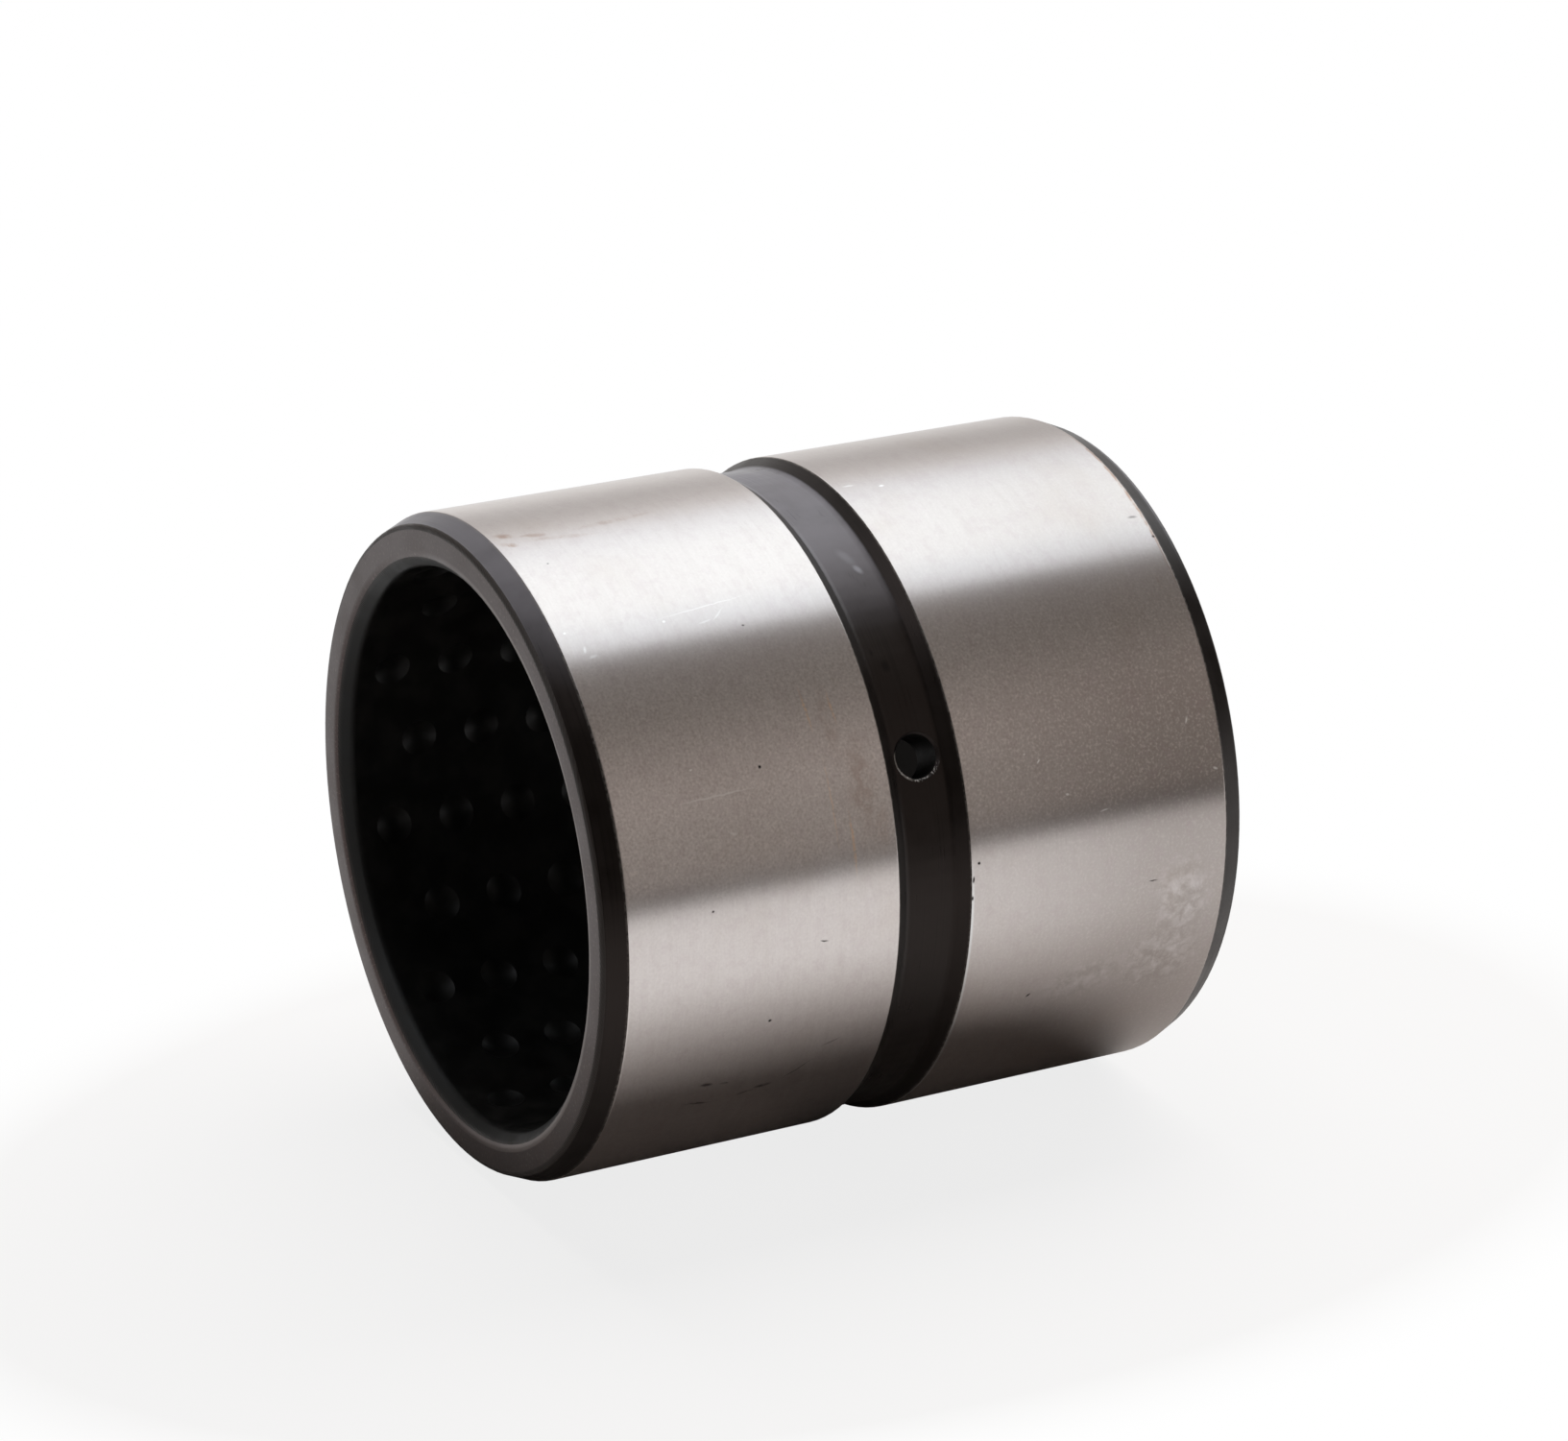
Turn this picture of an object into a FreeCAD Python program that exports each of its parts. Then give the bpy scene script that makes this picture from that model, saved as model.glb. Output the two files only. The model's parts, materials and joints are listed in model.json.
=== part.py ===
import FreeCAD, Part
import Sketcher

import math
import os

# Hardened steel sleeve bushing for a linkage pin, in millimetres.
# The bore axis lies along Y, the front end faces -Y and the origin is the middle of the sleeve.
# The outside is ground to a press fit, with a lead-in taper at each end and a grease groove at
# mid-length.  One oil hole leads from the groove into the bore, whose wall carries staggered
# rings of shallow grease pockets, drawn eight-sided because there are so many of them.

SIZES = [
    ("bore_dia", 80.0, "running bore for the linkage pin"),
    ("outer_dia", 95.0, "ground outside, pressed into the housing"),
    ("sleeve_length", 100.0, "end face to end face"),
    ("mouth_chamfer", 1.8, "45 degree lead-in at each bore mouth"),
    ("taper_length", 3.5, "press-in lead at each end of the outside, along the axis"),
    ("taper_drop", 1.5, "radial fall of that lead"),
    ("corner_break", 0.4, "small chamfer between lead and end face"),
    ("groove_width", 11.4, "grease groove across its mouth"),
    ("groove_floor_width", 7.3, "grease groove across its flat floor"),
    ("groove_depth", 1.4, "radial"),
    ("oil_hole_dia", 6.2, "radial hole from groove floor to bore"),
    ("oil_hole_break", 0.4, "radial width of the countersink at the hole's outer rim"),
    ("oil_hole_rise", 25.0, "direction of the hole above the horizontal, degrees"),
    ("pocket_dia", 5.5, "grease pocket, flat to flat"),
    ("pocket_depth", 0.7, "radial"),
    ("pocket_pitch", 10.0, "along the bore, between the rings of one set"),
    ("pocket_margin", 7.5, "end face to the middle of the first ring"),
    ("pockets_per_ring", 10.0, "spaced evenly round the bore"),
]

POCKET_SIDES = 8
COUNTERSINK_ANGLE = 90

# Where a sketch constraint takes hold: an edge's ends, a circle's centre, the sketch's own
# middle and its two axes.
START = 1
END = 2
CENTRE = 3
MIDDLE = (-1, 1)
AXIS_ACROSS = -1

# Two measures closer than this are the same, in millimetres.
SAME = 1e-4


def fill_sheet(doc):
    """The driving dimensions, one named cell each."""
    sheet = doc.addObject("Spreadsheet::Sheet", "Sizes")
    for row, (name, value, meaning) in enumerate(SIZES, start=1):
        sheet.set(f"A{row}", name)
        sheet.set(f"B{row}", str(value))
        sheet.setAlias(f"B{row}", name)
        sheet.set(f"C{row}", meaning)
    doc.recompute()
    return sheet


def origin_part(body, role):
    """A plane or an axis of the body's own origin."""
    return next(item for item in body.Origin.OriginFeatures if item.Role == role)


def add_sketch(body, name, plane_role):
    """An empty sketch on one of the body's origin planes."""
    sketch = body.newObject("Sketcher::SketchObject", name)
    sketch.AttachmentSupport = [(origin_part(body, plane_role), "")]
    sketch.MapMode = "FlatFace"
    return sketch


def draw_outline(sketch, corners):
    """Straight edges from corner to corner, the last one back to the first."""
    points = [FreeCAD.Vector(x, y, 0) for x, y in corners]
    for start, end in zip(points, points[1:] + points[:1]):
        sketch.addGeometry(Part.LineSegment(start, end), False)
    for edge in range(len(points)):
        following = (edge + 1) % len(points)
        sketch.addConstraint(Sketcher.Constraint("Coincident", edge, END, following, START))


def mirror_corners(sketch, edge, other):
    """The corner that starts one edge mirrors the one that starts the other, front to rear."""
    sketch.addConstraint(
        Sketcher.Constraint("Symmetric", edge, START, other, START, AXIS_ACROSS, 0))


def drive(sketch, name, kind, where, value, formula):
    """A named dimension of a sketch, set from the sheet."""
    index = sketch.addConstraint(Sketcher.Constraint(kind, *where, value))
    sketch.renameConstraint(index, name)
    sketch.setExpression(f"Constraints.{name}", formula)


def add_sleeve_wall(body, size):
    """Wall section, turned about the bore axis: bore, mouth chamfers, end faces and leads."""
    sketch = add_sketch(body, "WallSection", "XY_Plane")
    inner = size.bore_dia / 2
    outer = size.outer_dia / 2
    half = size.sleeve_length / 2
    mouth = inner + size.mouth_chamfer
    lead = outer - size.taper_drop
    draw_outline(sketch, [
        (inner, -half + size.mouth_chamfer), (mouth, -half), (lead, -half),
        (outer, -half + size.taper_length), (outer, half - size.taper_length),
        (lead, half), (mouth, half), (inner, half - size.mouth_chamfer)])
    for front, rear in ((0, 7), (1, 6), (2, 5), (3, 4)):
        mirror_corners(sketch, front, rear)
    sketch.addConstraint(Sketcher.Constraint("Horizontal", 1))
    drive(sketch, "bore_radius", "DistanceX", (*MIDDLE, 0, START), inner, "Sizes.bore_dia / 2")
    drive(sketch, "outer_radius", "DistanceX", (*MIDDLE, 3, START), outer, "Sizes.outer_dia / 2")
    drive(sketch, "length", "DistanceY", (1, START, 6, START), 2 * half, "Sizes.sleeve_length")
    drive(sketch, "mouth_width", "DistanceX", (0, START, 1, START), size.mouth_chamfer,
          "Sizes.mouth_chamfer")
    drive(sketch, "mouth_depth", "DistanceY", (1, START, 0, START), size.mouth_chamfer,
          "Sizes.mouth_chamfer")
    drive(sketch, "lead_drop", "DistanceX", (2, START, 3, START), size.taper_drop,
          "Sizes.taper_drop")
    drive(sketch, "lead_length", "DistanceY", (2, START, 3, START), size.taper_length,
          "Sizes.taper_length")
    wall = body.newObject("PartDesign::Revolution", "SleeveWall")
    wall.Profile = sketch
    wall.ReferenceAxis = (origin_part(body, "Y_Axis"), [""])
    wall.Angle = 360
    return wall


def add_grease_groove(body, size):
    """Shallow trapezoid turned into the outside at mid-length, with sloping flanks."""
    sketch = add_sketch(body, "GrooveSection", "XY_Plane")
    outer = size.outer_dia / 2
    floor = outer - size.groove_depth
    above = outer + size.groove_depth
    half_floor = size.groove_floor_width / 2
    half_above = size.groove_width - half_floor
    draw_outline(sketch, [
        (floor, -half_floor), (above, -half_above), (above, half_above), (floor, half_floor)])
    mirror_corners(sketch, 0, 3)
    mirror_corners(sketch, 1, 2)
    drive(sketch, "floor_radius", "DistanceX", (*MIDDLE, 0, START), floor,
          "Sizes.outer_dia / 2 - Sizes.groove_depth")
    drive(sketch, "cut_height", "DistanceX", (0, START, 1, START), above - floor,
          "2 * Sizes.groove_depth")
    drive(sketch, "floor_width", "DistanceY", (0, START, 3, START), 2 * half_floor,
          "Sizes.groove_floor_width")
    drive(sketch, "width_above", "DistanceY", (1, START, 2, START), 2 * half_above,
          "2 * Sizes.groove_width - Sizes.groove_floor_width")
    groove = body.newObject("PartDesign::Groove", "GreaseGroove")
    groove.Profile = sketch
    groove.ReferenceAxis = (origin_part(body, "Y_Axis"), [""])
    groove.Angle = 360
    return groove


def break_corners(body):
    """Small chamfer where each lead meets its end face."""
    wall = body.Tip
    rim_radius = wall.Profile[0].getDatum("outer_radius") - wall.Profile[0].getDatum("lead_drop")
    rims = [f"Edge{number}" for number, edge in enumerate(wall.Shape.Edges, start=1)
            if isinstance(edge.Curve, Part.Circle)
            and abs(edge.Curve.Radius - rim_radius.Value) < SAME]
    corners = body.newObject("PartDesign::Chamfer", "CornerBreaks")
    corners.Base = (wall, rims)
    corners.setExpression("Size", "Sizes.corner_break")
    return corners


def add_oil_hole(body, size):
    """Countersunk radial hole, drilled from the groove floor through one side of the wall."""
    sketch = add_sketch(body, "OilHoleCentre", "YZ_Plane")
    sketch.setExpression("AttachmentOffset.Base.z", "Sizes.outer_dia / 2 - Sizes.groove_depth")
    sketch.addGeometry(Part.Circle(FreeCAD.Vector(), FreeCAD.Vector(0, 0, 1),
                                   size.oil_hole_dia / 2), False)
    sketch.addConstraint(Sketcher.Constraint("Coincident", 0, CENTRE, *MIDDLE))
    drive(sketch, "radius", "Radius", (0,), size.oil_hole_dia / 2, "Sizes.oil_hole_dia / 2")
    hole = body.newObject("PartDesign::Hole", "OilHole")
    hole.Profile = sketch
    body.Document.recompute()
    hole.Threaded = False
    hole.DepthType = "Dimension"
    hole.DrillPoint = "Flat"
    hole.HoleCutType = "Countersink"
    hole.HoleCutCustomValues = True
    hole.HoleCutCountersinkAngle = COUNTERSINK_ANGLE
    hole.setExpression("Diameter", "Sizes.oil_hole_dia")
    hole.setExpression("HoleCutDiameter", "Sizes.oil_hole_dia + 2 * Sizes.oil_hole_break")
    hole.setExpression("Depth", "(Sizes.outer_dia - Sizes.bore_dia) / 2")
    return hole


def draw_polygon(sketch, sides, name, width, formula):
    """A regular polygon round the sketch's middle, with flats across its level axis."""
    circle = sides
    radius = width / 2 / math.cos(math.pi / sides)
    turns = [math.pi * (2 * corner + 1) / sides for corner in range(sides)]
    draw_outline(sketch, [(radius * math.cos(turn), radius * math.sin(turn)) for turn in turns])
    sketch.addGeometry(Part.Circle(FreeCAD.Vector(), FreeCAD.Vector(0, 0, 1), radius), True)
    sketch.addConstraint(Sketcher.Constraint("Coincident", circle, CENTRE, *MIDDLE))
    for edge in range(sides):
        sketch.addConstraint(Sketcher.Constraint("PointOnObject", edge, START, circle))
    for edge in range(1, sides):
        sketch.addConstraint(Sketcher.Constraint("Equal", 0, edge))
    top_flat = sides // 4 - 1
    sketch.addConstraint(Sketcher.Constraint("Horizontal", top_flat))
    drive(sketch, name, "DistanceY", (*MIDDLE, top_flat, START), width / 2, formula)


def add_pocket_set(body, size, name, turn, start):
    """Half of the grease pockets: rings at the set's pitch, turned from the oil hole's line.

    The first pocket's outline lies on the pocket's floor and is cut inward, into the bore."""
    sketch = add_sketch(body, f"{name}PocketOutline", "XY_Plane")
    sketch.AttachmentOffset = FreeCAD.Placement(
        FreeCAD.Vector(), FreeCAD.Rotation(FreeCAD.Vector(0, 1, 0), 90))
    floor_radius = "(Sizes.bore_dia / 2 + Sizes.pocket_depth)"
    sketch.setExpression("AttachmentOffset.Rotation.Angle", f"90 deg - {turn}")
    sketch.setExpression("AttachmentOffset.Base.x", f"{floor_radius} * cos({turn})")
    sketch.setExpression("AttachmentOffset.Base.y", start)
    sketch.setExpression("AttachmentOffset.Base.z", f"{floor_radius} * sin({turn})")
    draw_polygon(sketch, POCKET_SIDES, "half_width", size.pocket_dia, "Sizes.pocket_dia / 2")
    first = body.newObject("PartDesign::Pocket", f"{name}Pocket")
    first.Profile = sketch
    first.setExpression("Length", "2 * Sizes.pocket_depth")

    around = body.newObject("PartDesign::PolarPattern", f"{name}Round")
    around.Axis = (origin_part(body, "Y_Axis"), [""])
    around.Angle = 360
    around.setExpression("Occurrences", "Sizes.pockets_per_ring")
    along = body.newObject("PartDesign::LinearPattern", f"{name}Along")
    along.Direction = (origin_part(body, "Y_Axis"), [""])
    rings = ("floor((Sizes.sleeve_length - 2 * Sizes.pocket_margin)"
             " / Sizes.pocket_pitch)")
    along.setExpression("Length", f"{rings} * Sizes.pocket_pitch")
    along.setExpression("Occurrences", f"{rings} + 1")
    pattern = body.newObject("PartDesign::MultiTransform", f"{name}Pockets")
    pattern.Originals = [first]
    pattern.Transformations = [around, along]
    body.Tip = pattern
    return pattern


def build_sleeve(doc, size):
    """The bushing, one machined piece."""
    body = doc.addObject("PartDesign::Body", "Sleeve")
    body.Label = "bushing_sleeve"
    add_sleeve_wall(body, size)
    doc.recompute()
    break_corners(body)
    add_grease_groove(body, size)
    doc.recompute()
    add_oil_hole(body, size)
    doc.recompute()
    first = "Sizes.pocket_margin - Sizes.sleeve_length / 2"
    quarter_turn = "(90 deg / Sizes.pockets_per_ring)"
    add_pocket_set(body, size, "Low", f"-{quarter_turn}", first)
    doc.recompute()
    add_pocket_set(body, size, "High", quarter_turn, f"{first} + Sizes.pocket_pitch / 2")
    body.Placement = FreeCAD.Placement(
        FreeCAD.Vector(), FreeCAD.Rotation(FreeCAD.Vector(0, -1, 0), size.oil_hole_rise))
    body.setExpression("Placement.Rotation.Angle", "Sizes.oil_hole_rise * 1 deg")
    doc.recompute()
    return body


class Size:
    """The sheet's values, read by name."""

    def __init__(self, sheet):
        self.sheet = sheet

    def __getattr__(self, name):
        return float(self.sheet.get(name))


def check_objects(doc):
    """Stops if any object of the document failed to compute."""
    for item in doc.Objects:
        if "Invalid" in item.State or "Error" in item.State:
            raise RuntimeError(f"{item.Name} did not compute: {item.State}")


def write_body(body):
    """The finished solid, in a file named after it."""
    shape = body.Shape
    if shape.isNull() or not shape.isValid() or len(shape.Solids) != 1:
        raise RuntimeError(f"{body.Label} is not one sound solid")
    os.makedirs("parts", exist_ok=True)
    shape.exportStep(f"parts/{body.Label}.step")


def main():
    doc = FreeCAD.newDocument("SleeveBushing")
    sheet = fill_sheet(doc)
    body = build_sleeve(doc, Size(sheet))
    check_objects(doc)
    write_body(body)


main()
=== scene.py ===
"""Hardened steel sleeve bushing, lying on its side on a white table under a soft box.

The bore axis lies along Y.  All lengths are metres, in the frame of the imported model.
"""

import json
import math

import bmesh
import bpy
from bpy.props import FloatProperty, FloatVectorProperty, IntProperty, PointerProperty
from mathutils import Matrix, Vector


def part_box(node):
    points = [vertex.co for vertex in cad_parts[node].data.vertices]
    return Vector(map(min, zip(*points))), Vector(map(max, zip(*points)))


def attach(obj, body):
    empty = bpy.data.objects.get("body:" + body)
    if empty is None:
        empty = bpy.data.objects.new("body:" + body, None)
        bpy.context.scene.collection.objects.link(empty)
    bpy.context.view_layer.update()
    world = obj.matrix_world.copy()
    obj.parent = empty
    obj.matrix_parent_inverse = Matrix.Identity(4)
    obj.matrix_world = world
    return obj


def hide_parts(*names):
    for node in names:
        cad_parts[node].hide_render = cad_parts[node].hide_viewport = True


bl_info = {
    "name": "Sleeve bushing",
    "version": (1, 0, 0),
    "blender": (4, 5, 0),
    "location": "3D View > Sidebar > Bushing",
    "description": "A ground steel sleeve bushing with grease groove, oil hole and grease pockets",
    "category": "Add Mesh",
}

MM = 0.001

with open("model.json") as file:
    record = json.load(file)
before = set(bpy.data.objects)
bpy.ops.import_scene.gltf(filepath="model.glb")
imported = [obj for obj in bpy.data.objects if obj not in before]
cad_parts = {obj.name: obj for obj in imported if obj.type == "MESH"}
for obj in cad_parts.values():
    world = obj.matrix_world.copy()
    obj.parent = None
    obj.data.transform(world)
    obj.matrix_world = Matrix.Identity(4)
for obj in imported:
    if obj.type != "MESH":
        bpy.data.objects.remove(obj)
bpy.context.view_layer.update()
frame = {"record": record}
NODE = "bushing_sleeve"
MOUNTS = {mount["name"]: mount for mount in frame["record"]["mounts"]}

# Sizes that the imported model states.
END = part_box(NODE)[1].y
BORE_RADIUS = MOUNTS["pin_bore"]["dims"]["r_mm"] * MM
BORE_HALF = MOUNTS["pin_bore"]["dims"]["length_mm"] * MM / 2
OUTER_RADIUS = MOUNTS["housing_seat"]["dims"]["r_mm"] * MM
LAND_HALF = MOUNTS["housing_seat"]["dims"]["length_mm"] * MM / 2
HOLE_RADIUS = MOUNTS["grease_hole"]["dims"]["r_mm"] * MM
HOLE_AXIS = Vector(MOUNTS["grease_hole"]["axis"])
HOLE_RISE = math.atan2(HOLE_AXIS.z, HOLE_AXIS.x)
MOUTH_RADIUS = BORE_RADIUS + END - BORE_HALF
FLOOR_HEIGHT = -OUTER_RADIUS

# How finely the sleeve is drawn.  A pocket's cell is ACROSS edges wide and ALONG edges long,
# so its rim has one point for each edge of the cell, and the rims of the sleeve have ACROSS
# points for each column of cells.
ACROSS = 6
ALONG = 4
HOLE_POINTS = 48
ROUND_STEPS = 3
SHARP_ANGLE = math.radians(25)
SAME = 0.005 * MM
# A pocket's rings lie at these shares of its rim's radius, down to its middle.
POCKET_RINGS = (0.8, 0.45)
# How far the drill starts inside the bore, and how far it runs on past the groove's floor.
DRILL_START = 2 * MM
DRILL_OVERRUN = 1 * MM
# An end face is turned towards the end by at least this much, and this share of its rounded
# corner keeps the corner's own finish.
END_FACING = 0.9
CORNER_SHARE = 0.8


def linear(hex_colour):
    """A colour written as sRGB hex, as the linear values that Blender works in."""
    channels = [int(hex_colour[i:i + 2], 16) / 255 for i in (1, 3, 5)]
    return [c / 12.92 if c <= 0.04045 else ((c + 0.055) / 1.055) ** 2.4 for c in channels]


def length(name, description, millimetres):
    """A property that holds a length."""
    return FloatProperty(name=name, description=description, default=millimetres * MM,
                         min=0.0, unit="LENGTH", precision=5)


def colour(name, description, hex_colour):
    """A property that holds a colour."""
    return FloatVectorProperty(name=name, description=description, default=linear(hex_colour),
                               min=0.0, max=1.0, subtype="COLOR", size=3)


# ---------------------------------------------------------------- settings


class BushingSizes(bpy.types.PropertyGroup):
    """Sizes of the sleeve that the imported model's record doesn't state."""

    groove_width: length("Groove width", "Grease groove across its mouth", 11.4)
    groove_floor: length("Groove floor", "Grease groove across its flat floor", 7.3)
    groove_depth: length("Groove depth", "Depth of the grease groove", 1.4)
    lead_drop: length("Lead drop", "How far the press-in taper falls at each end", 1.5)
    corner_round: length("Corner round", "Rounded corner between taper and end face", 0.55)
    mouth_round: length("Mouth round", "Rounded edge between bore chamfer and end face", 0.8)
    bore_round: length("Bore round", "Rounded edge between bore chamfer and bore wall", 0.5)
    root_round: length("Root round", "Tool radius at the foot of the groove's flanks", 0.5)
    edge_break: length("Edge break", "Deburred edge of the ground lands", 0.12)
    hole_break: length("Hole break", "Width of the countersink round the oil hole", 0.4)
    pocket_width: length("Pocket width", "Grease pocket across its rim", 5.5)
    pocket_depth: length("Pocket depth", "Grease pocket at its middle", 0.8)
    pocket_pitch: length("Pocket pitch", "Along the bore, from ring to ring of one set", 10.0)
    pocket_margin: length("Pocket margin", "From an end face to the first ring", 7.5)
    pockets_per_ring: IntProperty(name="Pockets per ring", description="Spaced evenly round",
                                  default=10, min=3)


class BushingFinish(bpy.types.PropertyGroup):
    """Colours of the finishes and of the stage."""

    ground_steel: colour("Ground steel", "Lands, ground bright", "#d0c9c6")
    black_oxide: colour("Black oxide", "Grease groove and press-in tapers", "#1b1715")
    end_scale: colour("End face", "Turned end faces, dulled by hardening", "#352e2c")
    bore_oxide: colour("Bore oxide", "Oiled black wall of the bore", "#151413")
    table: colour("Table", "White table under the sleeve", "#dcd6d2")


# ---------------------------------------------------------------- modelling helpers


def deselect_objects():
    bpy.ops.object.select_all(action="DESELECT")


def active_mesh(name):
    """The object that an operator has just added, under its own name."""
    piece = bpy.context.active_object
    piece.name = name
    piece.data.name = name
    return piece


def choose(piece, *others):
    """Selects these objects only, with the first one active."""
    deselect_objects()
    for item in (piece, *others):
        item.select_set(True)
    bpy.context.view_layer.objects.active = piece


def edit(piece):
    """Opens one mesh for editing, with nothing selected."""
    choose(piece)
    bpy.ops.object.mode_set(mode="EDIT")
    bpy.ops.mesh.select_all(action="DESELECT")


def leave_edit():
    bpy.ops.object.mode_set(mode="OBJECT")


def pick(piece, kind, test):
    """In edit mode, selects only the VERT, EDGE or FACE items that pass the test."""
    bpy.ops.mesh.select_mode(type=kind)
    bpy.ops.mesh.select_all(action="DESELECT")
    mesh = bmesh.from_edit_mesh(piece.data)
    for item in {"VERT": mesh.verts, "EDGE": mesh.edges, "FACE": mesh.faces}[kind]:
        if test(item):
            item.select_set(True)
    mesh.select_flush_mode()
    bmesh.update_edit_mesh(piece.data)


def settle(piece):
    """Moves the object's place, turn and scale into its mesh."""
    choose(piece)
    bpy.ops.object.transform_apply(location=True, rotation=True, scale=True)


def finish_with(piece, kind, **settings):
    """Adds a modifier and applies it."""
    choose(piece)
    modifier = piece.modifiers.new(kind.title(), kind)
    for name, value in settings.items():
        setattr(modifier, name, value)
    bpy.ops.object.modifier_apply(modifier=modifier.name)


def axis_distance(point):
    """How far a point lies from the bore axis."""
    return math.hypot(point.x, point.z)


def near(value, target):
    """Whether two lengths are the same but for rounding."""
    return abs(value - target) < SAME


# ---------------------------------------------------------------- the sleeve's shape


def cell_size(sizes):
    """One pocket's cell, unrolled: its width round the bore and its length along it."""
    return math.tau * BORE_RADIUS / (2 * sizes.pockets_per_ring), sizes.pocket_pitch


def model_pocket_cell(sizes):
    """A flat cell of the bore wall with one ball-cut pocket, which rises from the flat because
    the sheet is later bent with its upper side outward."""
    width, pitch = cell_size(sizes)
    rim = sizes.pocket_width / 2
    ball = (rim ** 2 + sizes.pocket_depth ** 2) / (2 * sizes.pocket_depth)
    deselect_objects()
    bpy.ops.mesh.primitive_plane_add(size=1)
    cell = active_mesh("bore_wall")
    cell.scale = (width, pitch, 1)
    settle(cell)

    edit(cell)
    bpy.ops.mesh.select_all(action="SELECT")
    bpy.ops.mesh.delete(type="ONLY_FACE")
    pick(cell, "EDGE", lambda e: near(e.verts[0].co.y, e.verts[1].co.y))
    bpy.ops.mesh.subdivide(number_cuts=ACROSS - 1)
    pick(cell, "EDGE", lambda e: near(e.verts[0].co.x, e.verts[1].co.x))
    bpy.ops.mesh.subdivide(number_cuts=ALONG - 1)
    bpy.ops.mesh.select_all(action="DESELECT")
    bpy.ops.mesh.primitive_circle_add(vertices=2 * (ACROSS + ALONG), radius=rim)
    bpy.ops.mesh.select_all(action="SELECT")
    bpy.ops.mesh.bridge_edge_loops()

    pick(cell, "VERT", lambda v: near(v.co.xy.length, rim))
    reached = 1.0
    height = 0.0
    for share in POCKET_RINGS:
        rise = math.sqrt(ball ** 2 - (share * rim) ** 2) - (ball - sizes.pocket_depth) - height
        bpy.ops.mesh.extrude_region_move(TRANSFORM_OT_translate={"value": (0, 0, rise)})
        bpy.ops.transform.resize(value=(share / reached, share / reached, 1),
                                 center_override=(0, 0, 0))
        reached = share
        height += rise
    bpy.ops.mesh.extrude_region_move(
        TRANSFORM_OT_translate={"value": (0, 0, sizes.pocket_depth - height)})
    bpy.ops.mesh.merge(type="CENTER")
    leave_edit()
    return cell


def extend_column(column, edge, limit, step):
    """Carries a column's end edge on to the end of the bore, at the cells' own spacing."""
    direction = math.copysign(1, limit)
    edit(column)
    pick(column, "VERT", lambda v: near(v.co.y, edge))
    while abs(limit - edge) > SAME:
        stride = min(step, abs(limit - edge))
        bpy.ops.mesh.extrude_region_move(
            TRANSFORM_OT_translate={"value": (0, direction * stride, 0)})
        edge += direction * stride
    leave_edit()


def model_bore_wall(sizes):
    """The whole bore wall: cells in columns, two columns in step and out of step, the pair
    repeated side by side, and the sheet bent round the bore axis."""
    width, pitch = cell_size(sizes)
    sheet = model_pocket_cell(sizes)
    rings = int((2 * END - 2 * sizes.pocket_margin) / pitch + SAME) + 1
    finish_with(sheet, "ARRAY", count=rings, use_relative_offset=False,
                use_constant_offset=True, constant_offset_displace=(0, pitch, 0),
                use_merge_vertices=True, merge_threshold=SAME)
    sheet.location.y = sizes.pocket_margin - END
    settle(sheet)
    first_edge = sizes.pocket_margin - END - pitch / 2
    extend_column(sheet, first_edge, -BORE_HALF, pitch / ALONG)
    extend_column(sheet, first_edge + rings * pitch, BORE_HALF, pitch / ALONG)

    choose(sheet)
    bpy.ops.object.duplicate()
    other = bpy.context.active_object
    other.scale.y = -1
    other.location.x = width
    settle(other)
    choose(sheet, other)
    bpy.ops.object.join()

    circumference = 2 * width * sizes.pockets_per_ring
    finish_with(sheet, "ARRAY", count=sizes.pockets_per_ring, use_relative_offset=False,
                use_constant_offset=True, constant_offset_displace=(2 * width, 0, 0),
                use_merge_vertices=True, merge_threshold=SAME)
    sheet.location.x = (width - circumference) / 2
    settle(sheet)
    sheet.rotation_euler.y = -math.pi / 2
    settle(sheet)
    finish_with(sheet, "SIMPLE_DEFORM", deform_method="BEND", deform_axis="Y",
                angle=math.tau)
    sheet.location.x = -BORE_RADIUS
    settle(sheet)
    return sheet


def wall_rings(sizes):
    """Radius and place along the axis of each corner, from bore edge to bore edge."""
    lead = OUTER_RADIUS - sizes.lead_drop
    floor = OUTER_RADIUS - sizes.groove_depth
    front = [(BORE_RADIUS, -BORE_HALF), (MOUTH_RADIUS, -END), (lead, -END),
             (OUTER_RADIUS, -LAND_HALF), (OUTER_RADIUS, -sizes.groove_width / 2),
             (floor, -sizes.groove_floor / 2)]
    return front + [(radius, -place) for radius, place in reversed(front)]


def model_outside(sizes):
    """Everything but the bore wall: one ring drawn out from corner to corner of the section."""
    rings = wall_rings(sizes)
    radius, place = rings[0]
    deselect_objects()
    bpy.ops.mesh.primitive_circle_add(vertices=2 * sizes.pockets_per_ring * ACROSS,
                                      radius=radius, location=(0, place, 0),
                                      rotation=(math.pi / 2, 0, 0))
    outside = active_mesh("sleeve_outside")
    settle(outside)
    edit(outside)
    bpy.ops.mesh.select_all(action="SELECT")
    for next_radius, next_place in rings[1:]:
        bpy.ops.mesh.extrude_region_move(
            TRANSFORM_OT_translate={"value": (0, next_place - place, 0)})
        bpy.ops.transform.resize(value=(next_radius / radius, 1, next_radius / radius),
                                 center_override=(0, 0, 0))
        radius, place = next_radius, next_place
    leave_edit()
    return outside


def round_rims(piece, places, size):
    """Rounds the circular edges at the given radii and distances from mid-length."""
    edit(piece)
    pick(piece, "EDGE", lambda e: any(
        all(near(axis_distance(v.co), radius) and near(abs(v.co.y), distance) for v in e.verts)
        for radius, distance in places))
    bpy.ops.mesh.bevel(offset=size, segments=ROUND_STEPS, profile=0.5, affect="EDGES")
    leave_edit()


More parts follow.
